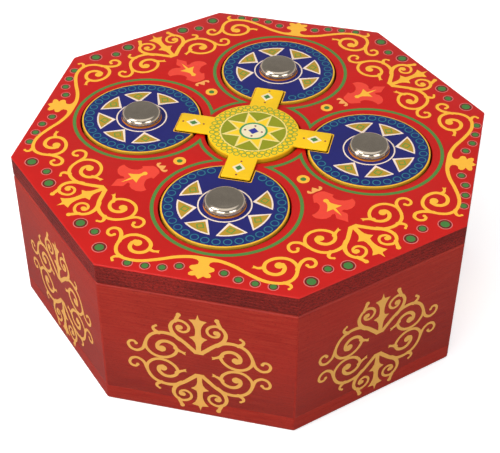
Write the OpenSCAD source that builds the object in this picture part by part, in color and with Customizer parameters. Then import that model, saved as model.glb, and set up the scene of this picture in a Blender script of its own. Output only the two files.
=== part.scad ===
// Octagonal jack-in-the-box with a four-dial puzzle-lock lid.
// Millimetres. +Z is up, the front wall faces -Y, the lid is hinged at +Y.
// The origin is the centre of the face the box stands on.

/* [Box] */
// Distance across the flats of the octagonal body
across_flats = 160; // [156:1:176]
// Height of the body from the table to the rim
body_h = 54.5; // [54:0.5:60]
// Thickness of the side boards
wall_t = 6; // [4:0.5:8]
// Thickness of the base board
base_t = 6.5; // [5:0.5:7]
// Rounding of the body's upright edges
corner_r = 1.6; // [0.5:0.1:3]

/* [Lid] */
// How far the lid's edge sits in from the body's faces
lid_inset = 0.05; // [0:0.05:1.5]
// Thickness of each of the lid's two boards
lid_board_t = 3.95; // [3.5:0.05:5]
// Gap between the lid and the rim when closed
lid_gap = 0.1; // [0.05:0.05:0.3]

/* [Dials] */
// Distance from the lid's centre to each dial's centre
dial_offset = 42; // [42:0.5:43]
// Radius of a dial wheel
dial_r = 21.75; // [20:0.25:21.75]
// Gap round a dial wheel in its well
well_gap = 0.65; // [0.6:0.05:1.25]
// How far a dial stands above the lid's top
dial_proud = 0.5; // [0.2:0.1:1]
// Diameter of the steel knobs
knob_d = 14.5; // [10:0.5:17]
// Height of the knobs above the dials
knob_h = 3.4; // [2.5:0.1:6]
// Radius of the shafts that carry the dials
shaft_r = 2.5; // [2:0.1:3]
// Running clearance of a shaft in the lid, on the radius
run_clear = 0.05; // [0.02:0.01:0.09]

/* [Cross] */
// Radius of the cross's centre disc
cross_disc_r = 16.5; // [14:0.5:16.5]
// Length of the cross from arm tip to arm tip
cross_span = 55.5; // [50:0.5:56]
// Width of the cross's arms
cross_arm_w = 10.35; // [8:0.05:11]
// Thickness of the cross plate
cross_t = 0.7; // [0.6:0.1:1.5]
// Gap between a cross arm and the sides of the dial notch under it
notch_gap = 0.25; // [0.2:0.05:0.6]

/* [Latches] */
// Reach of a latch from its dial's centre
latch_reach = 22; // [20:0.5:22]
// How far each keeper stands in from its wall
keeper_reach = 15; // [13:0.5:15]

/* [Jack] */
// Mean radius of the pop-up spring
spring_r = 14; // [13.5:0.25:14]
// Wire diameter of the pop-up spring
spring_wire_d = 1.6; // [1.2:0.1:1.6]
// Number of turns in the pop-up spring
spring_turns = 6; // [4:0.5:6]
// Radius of the wooden head
head_r = 9.5; // [8:0.5:9.5]

/* [Hidden] */
$fn = 96;
snug = 0.02; // gap between seated pieces
screw_fit = 0.03; // radial gap round a screw or stud
sliver = 0.01; // smallest gap or overlap
through_h = 200; // height of cuts that pass right through the lid

apothem = across_flats / 2;
half_facet = 22.5; // half the angle one side of the octagon spans
corner_steps = 6; // segments in each rounded corner

// lid and dial heights
lid_apothem = apothem - lid_inset;
lid_corner_r = 1.2;
lid_z0 = body_h + lid_gap;
lid_z1 = lid_z0 + lid_board_t; // where the two boards meet
lid_top = lid_z1 + lid_board_t;
dial_top = lid_top + dial_proud;
dial_z0 = lid_z1 + 0.3;
cross_z0 = dial_top + 0.12;

// latch stack, measured down from the lid's underside
collar_z1 = lid_z0 - 0.15;
latch_z1 = lid_z0 - 4.1;
latch_t = 3;
latch_z0 = latch_z1 - latch_t;
nut_z0 = latch_z0 - 3;
stud_z0 = nut_z0 - 1.2;

// screws that hold the spring seat to the base
seat_screw_r = 1.25;
seat_screw_circle_r = 8;

red = [0.78, 0.10, 0.11];
side_red = [0.55, 0.16, 0.13];
yellow = [0.98, 0.78, 0.12];
blue = [0.14, 0.16, 0.42];
ply = [0.86, 0.70, 0.42];
pine = [0.88, 0.74, 0.50];
steel = [0.70, 0.70, 0.72];
brass = [0.80, 0.62, 0.28];
skin = [0.90, 0.70, 0.52];
cloth_blue = [0.12, 0.20, 0.55];
cloth_yellow = [0.95, 0.76, 0.15];
cloth_cream = [0.95, 0.92, 0.84];

// ---- shared shapes ----

// Rounding of the octagon corner at angle corner, from one normal angle to another.
function corner_arc(corner, flat_r, radius, from, to, steps) = [
  for (i = [0:steps])
    let (angle = from + (to - from) * i / steps, reach = (flat_r - radius) / cos(half_facet))
      [reach * cos(corner) + radius * cos(angle), reach * sin(corner) + radius * sin(angle)]
];

// Outline of a regular octagon of apothem flat_r with rounded corners.
function octagon(flat_r, radius) = [
  for (k = [0:7])
    let (corner = half_facet + 45 * k)
      each corner_arc(corner, flat_r, radius, corner - half_facet, corner + half_facet,
        corner_steps)
];

// Plan of one side board, outer face towards +X, ends cut on the mitre.
function side_board(flat_r, thickness, radius) =
  let (inner = flat_r - thickness, inner_half = inner * tan(half_facet), steps = corner_steps / 2)
    concat(
      [[inner, -inner_half]],
      corner_arc(-half_facet, flat_r, radius, -half_facet, 0, steps),
      corner_arc(half_facet, flat_r, radius, 0, half_facet, steps),
      [[inner, inner_half]]
    );

// Turn that points +X at a side, counting anticlockwise from the front.
function facing(side, sides) = -90 + 360 * side / sides;

// Screw along Z, its head resting on z = 0.
module wood_screw(shank_r, length, top_r, top_h) {
  translate([0, 0, -length]) cylinder(r = shank_r, h = length + sliver, $fn = 24);
  cylinder(r = top_r, h = top_h, $fn = 32);
}

// Three places round the axis, the first towards +Y.
module at_thirds() {
  for (angle = [90, 210, 330]) rotate([0, 0, angle]) children();
}

module seat_screw_hole(z, height) {
  translate([seat_screw_circle_r, 0, z])
    cylinder(r = seat_screw_r + screw_fit, h = height, $fn = 24);
}

// ---- body ----

module base_board() {
  color(side_red) difference() {
    linear_extrude(base_t) polygon(octagon(apothem, corner_r));
    at_thirds() seat_screw_hole(base_t - 4.2, 5);
  }
}

// Sides 0 to 7 run from the front; side 4 is the rear wall.
module wall(side) {
  color(side_red) difference() {
    rotate([0, 0, facing(side, 8)]) translate([0, 0, base_t])
      linear_extrude(body_h - base_t) polygon(side_board(apothem, wall_t, corner_r));
    if (side == 4) at_box_screws() hinge_screw_hole();
  }
}

keeper_w = 26;
keeper_t = 3.5;
keeper_z0 = latch_z1 + 0.25;

module keeper(side) {
  inner_x = apothem - wall_t - snug - keeper_reach;
  color(pine) rotate([0, 0, facing(side, 4)]) difference() {
    translate([inner_x, -keeper_w / 2, keeper_z0]) cube([keeper_reach, keeper_w, keeper_t]);
    // tilted cutter that just meets the keeper's lower inner edge
    translate([inner_x, 0, keeper_z0]) rotate([0, 25, 0])
      translate([-4, -keeper_w / 2 - 1, -2]) cube([5, keeper_w + 2, 2]);
  }
}

// ---- hinges ----

hinge_w = 20;
hinge_x = 20; // each hinge's centre, either side of x = 0
pin_y = apothem + 2.1;
pin_z = body_h;
pin_r = 0.8;
pin_bore_r = 0.85;
pin_proud = 0.8; // how far a pin runs past each end of its hinge
pin_head_t = 1.2;
knuckle_r = 2;
mid_knuckle_half = 3.2; // half the middle knuckle's length
mid_space_half = 3.4; // half the space between the outer knuckles
box_leaf_face = apothem + 1;
lid_leaf_face = apothem + 0.9;
hinge_screw_r = 1;
hinge_screw_spread = 6; // from the hinge's centre to each screw

// Hinge screws lie along Y, heads towards +Y.
module at_hinge_screws(y, z) {
  for (hand = [-1, 1], side = [-1, 1])
    translate([hand * hinge_x + side * hinge_screw_spread, y, z]) rotate([-90, 0, 0]) children();
}

module at_box_screws() {
  at_hinge_screws(box_leaf_face, body_h - 7.6) children();
}

module at_lid_screws() {
  at_hinge_screws(lid_leaf_face, lid_z1 + 1.55) children();
}

module hinge_screw_hole() {
  cylinder(r = hinge_screw_r + screw_fit, h = 10, center = true, $fn = 24);
}

// Children's +Z runs along the hinge axis from x.
module along_pin(x) {
  translate([x, pin_y, pin_z]) rotate([0, 90, 0]) children();
}

module knuckle(x, length) {
  along_pin(x) difference() {
    cylinder(r = knuckle_r, h = length, $fn = 40);
    translate([0, 0, -1]) cylinder(r = pin_bore_r, h = length + 2, $fn = 24);
  }
}

module pin_bore(x) {
  along_pin(x) cylinder(r = pin_bore_r, h = 60, center = true, $fn = 24);
}

module leaf_plate(x, width, back, face, z, height) {
  translate([x, back, z]) cube([width, face - back, height]);
}

// Leaf screwed to the rear wall, with the two outer knuckles; hand is -1 left, 1 right.
module box_leaf(hand) {
  x = hand * hinge_x;
  left = x - hinge_w / 2;
  back = apothem + snug;
  knuckle_w = hinge_w / 2 - mid_space_half;
  color(brass) difference() {
    union() {
      leaf_plate(left, hinge_w, back, box_leaf_face, z = body_h - 12.5, height = 10.2);
      for (start = [left, x + mid_space_half]) {
        leaf_plate(start, knuckle_w, back, box_leaf_face, z = body_h - 3, height = 2.2);
        knuckle(start, knuckle_w);
      }
    }
    pin_bore(x);
    at_box_screws() hinge_screw_hole();
  }
}

// Leaf screwed to the lid's rear edge, with the middle knuckle.
module lid_leaf(hand) {
  x = hand * hinge_x;
  back = lid_apothem + snug;
  start = x - mid_knuckle_half;
  knuckle_w = 2 * mid_knuckle_half;
  color(brass) difference() {
    union() {
      leaf_plate(x - hinge_w / 2, hinge_w, back, lid_leaf_face, z = lid_z0 + 2.3, height = 4.9);
      leaf_plate(start, knuckle_w, back, lid_leaf_face, z = lid_z0 + 0.7, height = 2.2);
      knuckle(start, knuckle_w);
    }
    pin_bore(x);
    at_lid_screws() hinge_screw_hole();
  }
}

module hinge_pins() {
  color(steel) for (hand = [-1, 1]) along_pin(hand * hinge_x - hinge_w / 2 - pin_proud) {
    cylinder(r = pin_r, h = hinge_w + 2 * pin_proud, $fn = 24);
    for (z = [-0.6, hinge_w + 1]) translate([0, 0, z]) cylinder(r = 1.4, h = pin_head_t, $fn = 32);
  }
}

module hinge_box_screws() {
  color(brass) at_box_screws() translate([0, 0, snug])
    wood_screw(hinge_screw_r, length = 4.6, top_r = 1.9, top_h = 0.7);
}

module hinge_lid_screws() {
  color(brass) at_lid_screws() translate([0, 0, snug])
    wood_screw(hinge_screw_r, length = 4.6, top_r = 1.5, top_h = 0.5);
}

// ---- lid ----

cross_screw_r = 2;

module lid_board(z) {
  translate([0, 0, z]) linear_extrude(lid_board_t) polygon(octagon(lid_apothem, lid_corner_r));
}

module lid_backing_board() {
  color(ply) difference() {
    lid_board(lid_z0);
    at_all_dials() cylinder(r = shaft_r + run_clear, h = through_h);
    cylinder(r = cross_screw_r + screw_fit, h = through_h, $fn = 32);
  }
}

module lid_face_board() {
  color(red) difference() {
    lid_board(lid_z1);
    at_all_dials() cylinder(r = dial_r + well_gap, h = through_h);
    cylinder(r = cross_disc_r + 1, h = through_h);
    at_lid_screws() hinge_screw_hole();
  }
}

module cross_hub() {
  color(yellow) difference() {
    translate([0, 0, lid_z1 + sliver])
      cylinder(r = cross_disc_r, h = cross_z0 - lid_z1 - 2 * sliver);
    cylinder(r = cross_screw_r + screw_fit, h = lid_z1 + 3.6, $fn = 32);
  }
}

module cross_plate() {
  color(yellow) translate([0, 0, cross_z0]) linear_extrude(cross_t) {
    circle(r = cross_disc_r);
    square([cross_span, cross_arm_w], center = true);
    square([cross_arm_w, cross_span], center = true);
  }
}

// Driven up through the backing board into the hub.
module cross_screw() {
  color(brass) translate([0, 0, lid_z0 - sliver]) rotate([180, 0, 0])
    wood_screw(cross_screw_r, length = lid_board_t + 3.4, top_r = 3.6, top_h = 1.7);
}

// ---- dials: side 0 front, 1 right, 2 rear, 3 left ----

stud_r = 2; // lower end of the shaft, through latch and nut
latch_hub_r = 6.5;
latch_tip_r = 4.5;

// A dial's own -X points at the lid's centre.
module at_dial(side) {
  rotate([0, 0, facing(side, 4)]) translate([dial_offset, 0, 0]) children();
}

module at_all_dials() {
  for (side = [0:3]) at_dial(side) children();
}

module dial_wheel(side) {
  notch_w = cross_arm_w + 2 * notch_gap;
  notch_end = dial_offset - cross_span / 2 - notch_gap;
  color(blue) at_dial(side) difference() {
    translate([0, 0, dial_z0]) cylinder(r = dial_r, h = dial_top - dial_z0);
    cylinder(r = shaft_r + snug, h = through_h);
    // notch that shows which way the dial's latch points
    translate([-dial_r - 1, -notch_w / 2, 0]) cube([dial_r + 1 - notch_end, notch_w, through_h]);
  }
}

// Knob section, [radius, z]: a stepped foot, a domed shoulder and a nearly flat top.
function knob_profile(radius) = concat(
  [[0, 0], [radius * 0.86, 0], [radius * 0.88, 0.55], [radius * 0.97, 0.6]],
  [for (i = [0:10])
    let (angle = 90 * i / 10)
      [radius * (0.62 + 0.38 * cos(angle)), 0.9 + (knob_h - 1.25) * sin(angle)]],
  [[radius * 0.3, knob_h - 0.1], [0, knob_h]]
);

module dial_knob(side) {
  color(steel) at_dial(side) translate([0, 0, dial_top + snug]) difference() {
    rotate_extrude() polygon(knob_profile(knob_d / 2));
    translate([0, 0, -1]) cylinder(r = shaft_r + snug, h = knob_h - 0.1);
  }
}

module dial_shaft(side) {
  collar_z0 = latch_z1 + snug;
  shaft_z0 = collar_z1 - 1;
  shaft_z1 = dial_top + knob_h - 1.3;
  color(steel) at_dial(side) {
    translate([0, 0, stud_z0]) cylinder(r = stud_r, h = latch_z1 - stud_z0 + 1, $fn = 48);
    translate([0, 0, collar_z0]) cylinder(r = 5, h = collar_z1 - collar_z0, $fn = 64);
    translate([0, 0, shaft_z0]) cylinder(r = shaft_r, h = shaft_z1 - shaft_z0);
  }
}

module dial_latch(side) {
  tip_x = latch_reach - latch_tip_r;
  color(steel) at_dial(side) translate([0, 0, latch_z0]) linear_extrude(latch_t) difference() {
    union() {
      circle(r = latch_hub_r);
      translate([-tip_x, -latch_tip_r]) square([tip_x, 2 * latch_tip_r]);
      translate([-tip_x, 0]) circle(r = latch_tip_r);
    }
    circle(r = stud_r + screw_fit, $fn = 48);
  }
}

module dial_nut(side) {
  color(steel) at_dial(side) translate([0, 0, nut_z0]) difference() {
    cylinder(r = 4.04, h = latch_z0 - nut_z0 - snug, $fn = 6);
    translate([0, 0, -1]) cylinder(r = stud_r + screw_fit, h = 6, $fn = 48);
  }
}

// ---- jack: heights measured up from the base board ----

seat_z = base_t + snug;
seat_t = 2.5;
seat_top = seat_z + seat_t;
seat_boss_h = 2.5;
boss_r = 12.5; // bosses that locate the spring on seat and cap
spring_z0 = seat_top + 0.03 + spring_wire_d / 2;
spring_z1 = base_t + 13.45;
cap_z = base_t + 14.35;
cap_t = 2.35;
cap_top = cap_z + cap_t;
torso_z = cap_top + snug;
torso_top = base_t + 22.66;
head_z = base_t + 31.7; // centre of the head
head_flat = head_z - 9;
dowel_r = 2.5;

module spring_seat() {
  color(pine) difference() {
    union() {
      translate([0, 0, seat_z]) cylinder(r = 17, h = seat_t);
      translate([0, 0, seat_top - sliver]) cylinder(r = boss_r, h = seat_boss_h);
    }
    at_thirds() seat_screw_hole(0, 40);
  }
}

module spring_seat_screws() {
  color(brass) at_thirds()
    translate([seat_screw_circle_r, 0, seat_top + seat_boss_h + sliver])
      wood_screw(seat_screw_r, length = 8.8, top_r = 2.4, top_h = 0.8);
}

// A round wire wound on a mean radius from z0 to z1.
module coil(radius, wire_d, z0, z1, turns, turn_steps = 30, wire_sides = 8) {
  steps = ceil(turns * turn_steps);
  last = wire_sides - 1;
  points = [for (i = [0:steps], j = [0:last])
    let (turn = 360 * turns * i / steps, z = z0 + (z1 - z0) * i / steps,
      around = 360 * j / wire_sides, reach = radius + wire_d / 2 * cos(around))
      [reach * cos(turn), reach * sin(turn), z + wire_d / 2 * sin(around)]];
  skin_faces = [for (i = [0:steps - 1], j = [0:last])
    let (next = (j + 1) % wire_sides, ring = i * wire_sides, ring_up = ring + wire_sides)
      [ring + j, ring_up + j, ring_up + next, ring + next]];
  start_face = [for (j = [0:last]) j];
  end_face = [for (j = [last:-1:0]) steps * wire_sides + j];
  polyhedron(points, concat([start_face], skin_faces, [end_face]), convexity = 10);
}

module spring() {
  color(steel) coil(spring_r, spring_wire_d, spring_z0, spring_z1, spring_turns);
}

module dowel_hole(height) {
  cylinder(r = dowel_r + snug, h = height, $fn = 48);
}

module spring_cap() {
  color(pine) difference() {
    union() {
      translate([0, 0, cap_z]) cylinder(r = 16.5, h = cap_t);
      translate([0, 0, cap_z - 2.2]) cylinder(r = boss_r, h = 2.3);
    }
    dowel_hole(60);
  }
}

module neck_dowel() {
  color(pine) translate([0, 0, cap_z - 2])
    cylinder(r = dowel_r, h = head_z + 1 - cap_z, $fn = 48);
}

// The turned and cloth pieces below are sections of [radius, z].
module torso() {
  color(pine) difference() {
    rotate_extrude() polygon([
      [0, torso_z], [6, torso_z], [6.2, torso_z + 0.8], [5.4, torso_z + 3],
      [4.6, torso_z + 4.6], [4.4, torso_top], [0, torso_top]
    ]);
    dowel_hole(60);
  }
}

// Cloth sleeve over the spring, gathered at rest.
module gown() {
  hem_z = base_t + 0.4;
  color(cloth_blue) rotate_extrude() polygon([
    [17.7, hem_z], [20.2, hem_z], [20.2, cap_top + 1.1],
    [6.8, cap_top + 2.9], [6.8, cap_top + 1.6], [17.7, cap_top + 0.3]
  ]);
}

module ruff() {
  color(cloth_cream) rotate_extrude() polygon([
    [5.6, cap_top + 3.3], [14.5, cap_top + 3.0], [14.5, cap_top + 4.6], [5.6, cap_top + 5.1]
  ]);
}

module head() {
  color(skin) difference() {
    translate([0, 0, head_z]) sphere(r = head_r, $fn = 72);
    translate([-20, -20, head_flat - 20]) cube([40, 40, 20]);
    dowel_hole(head_z - 0.5);
  }
}

module nose() {
  color(red) translate([0, -head_r - 1.75, head_z - 0.6]) sphere(r = 1.7, $fn = 32);
}

// Balls along one horn of the hat: [distance out, height above head centre, radius]
horn = [[5.5, 8.9, 2.6], [11, 7.4, 2.1], [14.8, 3.2, 1.1]];

module horn_ball(i) {
  translate([horn[i][0], 0, head_z + horn[i][1]]) sphere(r = horn[i][2], $fn = 14);
}

// Arc over the head, from 12 degrees above its equator to the crown.
function hat_arc(radius, steps) = [
  for (i = steps)
    let (angle = 12 + 78 * i / 8)
      [radius * cos(angle), head_z + radius * sin(angle)]
];

module hat() {
  color(cloth_yellow) difference() {
    union() {
      rotate_extrude($fn = 48)
        polygon(concat(hat_arc(head_r + 0.25, [0:8]), hat_arc(head_r + 1.6, [8:-1:0])));
      at_thirds() for (i = [0:1]) hull() {
        horn_ball(i);
        horn_ball(i + 1);
      }
    }
    translate([0, 0, head_z]) sphere(r = head_r + 0.2, $fn = 48);
  }
}

module hat_bells() {
  color(brass) at_thirds() translate([15.2, 0, head_z + 0.15]) sphere(r = 1.8, $fn = 32);
}

base_board();
wall(0);  // wall_front
wall(1);  // wall_front_right
wall(2);  // wall_right
wall(3);  // wall_rear_right
wall(4);  // wall_rear
wall(5);  // wall_rear_left
wall(6);  // wall_left
wall(7);  // wall_front_left
keeper(0);  // keeper_front
keeper(1);  // keeper_right
keeper(2);  // keeper_rear
keeper(3);  // keeper_left
box_leaf(-1);  // hinge_box_leaf_left
box_leaf(1);  // hinge_box_leaf_right
hinge_pins();
hinge_box_screws();
spring_seat();
spring_seat_screws();
lid_backing_board();
lid_face_board();
cross_hub();
cross_plate();
cross_screw();
lid_leaf(-1);  // hinge_lid_leaf_left
lid_leaf(1);  // hinge_lid_leaf_right
hinge_lid_screws();
dial_wheel(0);  // dial_front_wheel
dial_knob(0);  // dial_front_knob
dial_shaft(0);  // dial_front_shaft
dial_latch(0);  // dial_front_latch
dial_nut(0);  // dial_front_nut
dial_wheel(1);  // dial_right_wheel
dial_knob(1);  // dial_right_knob
dial_shaft(1);  // dial_right_shaft
dial_latch(1);  // dial_right_latch
dial_nut(1);  // dial_right_nut
dial_wheel(2);  // dial_rear_wheel
dial_knob(2);  // dial_rear_knob
dial_shaft(2);  // dial_rear_shaft
dial_latch(2);  // dial_rear_latch
dial_nut(2);  // dial_rear_nut
dial_wheel(3);  // dial_left_wheel
dial_knob(3);  // dial_left_knob
dial_shaft(3);  // dial_left_shaft
dial_latch(3);  // dial_left_latch
dial_nut(3);  // dial_left_nut
spring();
spring_cap();
neck_dowel();
torso();
gown();
ruff();
head();
nose();
hat();
hat_bells();
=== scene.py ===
"""A jack-in-the-box: an octagonal red wooden box whose painted lid carries four round dials
about a yellow cross, with a jack on a spring inside.

The box stands on z = 0 about the Z axis, its front wall facing -Y. Sizes are in mm and
turn into metres only when a mesh, light or camera is made. Angles are in degrees from +X.
A "mesh" passed between functions is a pair (vertices, faces).
"""
from math import asin, atan2, cos, degrees, hypot, pi, radians, sin, tan, tau

import bmesh
import bpy
import numpy as np
from mathutils import Matrix, Vector
from mathutils.geometry import delaunay_2d_cdt


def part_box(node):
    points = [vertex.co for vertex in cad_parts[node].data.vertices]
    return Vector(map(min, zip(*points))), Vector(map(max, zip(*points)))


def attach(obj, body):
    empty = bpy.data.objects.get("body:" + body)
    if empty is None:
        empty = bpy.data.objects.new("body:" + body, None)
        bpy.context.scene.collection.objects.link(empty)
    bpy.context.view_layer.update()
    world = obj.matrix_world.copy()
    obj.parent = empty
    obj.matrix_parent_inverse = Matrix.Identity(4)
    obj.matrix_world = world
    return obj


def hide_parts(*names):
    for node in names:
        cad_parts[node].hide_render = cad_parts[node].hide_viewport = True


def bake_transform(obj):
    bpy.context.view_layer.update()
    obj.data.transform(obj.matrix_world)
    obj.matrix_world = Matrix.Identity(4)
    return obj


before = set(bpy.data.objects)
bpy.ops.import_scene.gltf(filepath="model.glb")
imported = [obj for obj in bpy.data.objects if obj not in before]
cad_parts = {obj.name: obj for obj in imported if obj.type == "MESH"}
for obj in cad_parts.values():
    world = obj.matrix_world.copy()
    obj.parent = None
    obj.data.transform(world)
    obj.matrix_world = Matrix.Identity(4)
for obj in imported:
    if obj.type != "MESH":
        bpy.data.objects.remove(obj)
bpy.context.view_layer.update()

MM = 0.001

# ---------------------------------------------------------------- sizes read from the frame


def mm_box(node):
    low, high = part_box(node)
    return [c / MM for c in low], [c / MM for c in high]


low, high = mm_box("base_board")
APOTHEM, BASE_TOP = high[0], high[2]
low, high = mm_box("wall_front")
BODY_TOP, WALL_T = high[2], high[1] - low[1]
low, high = mm_box("lid_backing_board")
LID_APOTHEM, LID_LOW, LID_JOINT = high[0], low[2], high[2]
BOARD_T = LID_JOINT - LID_LOW
LID_TOP = mm_box("lid_face_board")[1][2]

low, high = mm_box("dial_right_wheel")
DIAL_LOW, DIAL_TOP = low[2], high[2]
DIAL_R = (high[1] - low[1]) / 2
DIAL_OFFSET = high[0] - DIAL_R  # lid centre to dial centre
low, high = mm_box("dial_right_knob")
KNOB_R, KNOB_LOW, KNOB_TOP = (high[1] - low[1]) / 2, low[2], high[2]

low, high = mm_box("cross_plate")
CROSS_LOW, CROSS_TOP, CROSS_HALF = low[2], high[2], high[0]
low, high = mm_box("cross_hub")
HUB_R, HUB_LOW, HUB_TOP = high[0], low[2], high[2]
ARM_HALF = 5.175  # half the width of a cross arm

WELL_R = DIAL_R + 0.65
HUB_WELL_R = HUB_R + 1.0
SHAFT_HOLE_R = 2.55
NOTCH_GAP = 0.25  # play between a cross arm and the dial's notch
NOTCH_HALF = ARM_HALF + NOTCH_GAP
NOTCH_X = -(DIAL_OFFSET - CROSS_HALF - NOTCH_GAP)  # notch floor, dial frame

low, high = mm_box("head")
HEAD_R = high[0]
HEAD_Z = high[2] - HEAD_R
low, high = mm_box("gown")
GOWN_LOW, GOWN_R = low[2], high[0]
low, high = mm_box("spring")
SPRING_LOW, SPRING_TOP = low[2], high[2]
CAP_TOP = mm_box("spring_cap")[1][2]
low, high = mm_box("ruff")
RUFF_LOW, RUFF_R = low[2], high[0]
low, high = mm_box("nose")
NOSE_CENTRE = [(a + b) / 2 for a, b in zip(low, high)]
NOSE_R = (high[0] - low[0]) / 2

SIDES = {"front": -90, "right": 0, "rear": 90, "left": 180}
AXIAL = (0, 90, 180, 270)
DIAGONAL = (45, 135, 225, 315)

# ---------------------------------------------------------------- plane shapes


def rotate(p, angle):
    """p turned about Z. Any third coordinate is kept."""
    c, s = cos(radians(angle)), sin(radians(angle))
    return (p[0] * c - p[1] * s, p[0] * s + p[1] * c) + tuple(p[2:])


def double_area(points):
    """Twice the signed area, positive when counter-clockwise."""
    return sum(a[0] * b[1] - b[0] * a[1] for a, b in zip(points, points[1:] + points[:1]))


def ellipse(cx, cy, rx, ry, n=28):
    return [(cx + rx * cos(tau * i / n), cy + ry * sin(tau * i / n)) for i in range(n)]


def circle(cx, cy, r, n):
    return ellipse(cx, cy, r, r, n)


def rhombus(cx, rx, ry):
    return [(cx + rx, 0), (cx, ry), (cx - rx, 0), (cx, -ry)]


def octagon(apothem, r, n=6):
    """Octagon with its corners rounded to r."""
    reach = (apothem - r) / cos(radians(22.5))
    out = []
    for k in range(8):
        corner = 22.5 + 45 * k
        for i in range(n + 1):
            t = radians(corner - 22.5 + 45 * i / n)
            out.append((reach * cos(radians(corner)) + r * cos(t),
                        reach * sin(radians(corner)) + r * sin(t)))
    return out


def inset(loop, distance):
    """A counter-clockwise loop moved inwards along its mitred vertex normals."""
    out = []
    for i, here in enumerate(loop):
        before, after = loop[i - 1], loop[(i + 1) % len(loop)]
        e1 = (here[0] - before[0], here[1] - before[1])
        e2 = (after[0] - here[0], after[1] - here[1])
        l1, l2 = hypot(*e1) or 1e-9, hypot(*e2) or 1e-9
        n1, n2 = (-e1[1] / l1, e1[0] / l1), (-e2[1] / l2, e2[0] / l2)
        mx, my = n1[0] + n2[0], n1[1] + n2[1]
        k = max(mx * n1[0] + my * n1[1], 0.35)  # keeps sharp corners from shooting out
        out.append((here[0] + mx / k * distance, here[1] + my / k * distance))
    return out


def inside(px, py, loop):
    """Nonzero winding test of many points against one loop."""
    x, y = np.array([p[0] for p in loop]), np.array([p[1] for p in loop])
    hit = np.zeros(len(px), bool)
    near = np.nonzero((px > x.min()) & (px < x.max()) & (py > y.min()) & (py < y.max()))[0]
    if len(near) == 0:
        return hit
    x1, y1 = np.roll(x, -1), np.roll(y, -1)
    qx, qy = px[near][:, None], py[near][:, None]
    left = (x1 - x) * (qy - y) - (qx - x) * (y1 - y)
    up = (y <= qy) & (y1 > qy) & (left > 0)
    down = (y > qy) & (y1 <= qy) & (left < 0)
    hit[near] = (up.sum(1) - down.sum(1)) != 0
    return hit


def triangulate(loops, holes):
    """Points and triangles of the union of the loops, less the holes."""
    verts, edges = [], []
    for loop in list(loops) + list(holes):
        base, n = len(verts), len(loop)
        verts += [Vector((x, y)) for x, y in loop]
        edges += [(base + i, base + (i + 1) % n) for i in range(n)]
    flat = delaunay_2d_cdt(verts, edges, [], 0, 1e-5, False)
    points = np.array([(p[0], p[1]) for p in flat[0]])
    tris = np.array([list(t) for t in flat[2]])
    mid = points[tris].mean(axis=1)
    keep = np.zeros(len(tris), bool)
    for loop in loops:
        keep |= inside(mid[:, 0], mid[:, 1], loop)
    for loop in holes:
        keep &= ~inside(mid[:, 0], mid[:, 1], loop)
    return [tuple(p) for p in points.tolist()], tris[keep].tolist()


# ---------------------------------------------------------------- solids


def same(p):
    return p


def bridge(a, b, n, flip=False):
    """Quads between the closed rings of n vertices that start at a and b."""
    quads = []
    for i in range(n):
        k = (i + 1) % n
        quads.append([a + i, b + i, b + k, a + k] if flip else [a + i, a + k, b + k, b + i])
    return quads


def two_skins(rows, n, flip=False):
    """Faces of a thick open band: rows rings for one skin, then as many for the other."""
    half, last = rows * n, (rows - 1) * n
    faces = []
    for a in range(0, last, n):
        for pair in zip(bridge(a, a + n, n, flip),
                        bridge(half + a, half + a + n, n, not flip)):
            faces += pair
    for pair in zip(bridge(0, half, n, not flip), bridge(last, half + last, n, flip)):
        faces += pair
    return faces


def slab(loops, z0, z1, holes=(), place=same):
    """A closed solid: the union of plane loops between z0 and z1, moved by place."""
    points, tris = triangulate(loops, holes)
    used = sorted({i for t in tris for i in t})
    index = {v: i for i, v in enumerate(used)}
    n = len(used)
    verts = [place((points[i][0], points[i][1], z)) for z in (z1, z0) for i in used]
    faces, edges = [], {}
    for tri in tris:
        ids = [index[i] for i in tri]
        if double_area([points[i] for i in tri]) < 0:
            ids = ids[::-1]
        faces += [ids, [i + n for i in ids[::-1]]]
        edges.update(dict.fromkeys(zip(ids, ids[1:] + ids[:1])))
    faces += [[b, a, a + n, b + n] for a, b in edges if (b, a) not in edges]
    return verts, faces


def plate(outer, profile, holes=(), hole_profile=None, place=same):
    """A board: outline and holes swept through profiles of (z, inset) from bottom to top."""
    verts, faces, ends = [], [], []
    for k, loop in enumerate([outer, *holes]):
        loop = list(loop) if double_area(list(loop)) > 0 else list(loop)[::-1]
        n = len(loop)
        rings = []
        for z, d in hole_profile if k else profile:
            rings.append(len(verts))
            verts += [(x, y, z) for x, y in inset(loop, -d if k else d)]
        for a, b in zip(rings, rings[1:]):
            quads = bridge(a, b, n)
            faces += [q[::-1] for q in quads] if k else quads
        ends.append((rings[0], rings[-1], n))
    for top in (False, True):
        index, polys = [], []
        for start, end, n in ends:
            base = end if top else start
            polys.append(list(range(len(index), len(index) + n)))
            index += range(base, base + n)
        flat = delaunay_2d_cdt([Vector(verts[i][:2]) for i in index], [], polys, 0, 1e-6, True)
        origin = flat[3]
        for tri, source in zip(flat[2], flat[5]):
            if 0 in source and len(source) == 1:  # in the outline and in no hole
                ids = [index[origin[i][0]] for i in tri]
                if double_area([verts[i][:2] for i in ids]) < 0:
                    ids = ids[::-1]
                faces.append(ids if top else ids[::-1])
    return [place(v) for v in verts], faces


def board_profile(z0, z1, bottom, top, seg=4, grooves=()):
    """Board edge rounded to radii bottom and top, with grooves (z, depth, half height)."""
    out = []
    for i in range(seg + 1):
        t = pi / 2 * i / seg
        out.append((z0 + bottom * (1 - cos(t)), bottom * (1 - sin(t))))
    for z, d, h in grooves:
        out += [(z - h, 0.0), (z - h * 0.35, d), (z + h * 0.35, d), (z + h, 0.0)]
    for i in range(seg + 1):
        t = pi / 2 * i / seg
        out.append((z1 - top * (1 - sin(t)), top * (1 - cos(t))))
    return out


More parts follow.
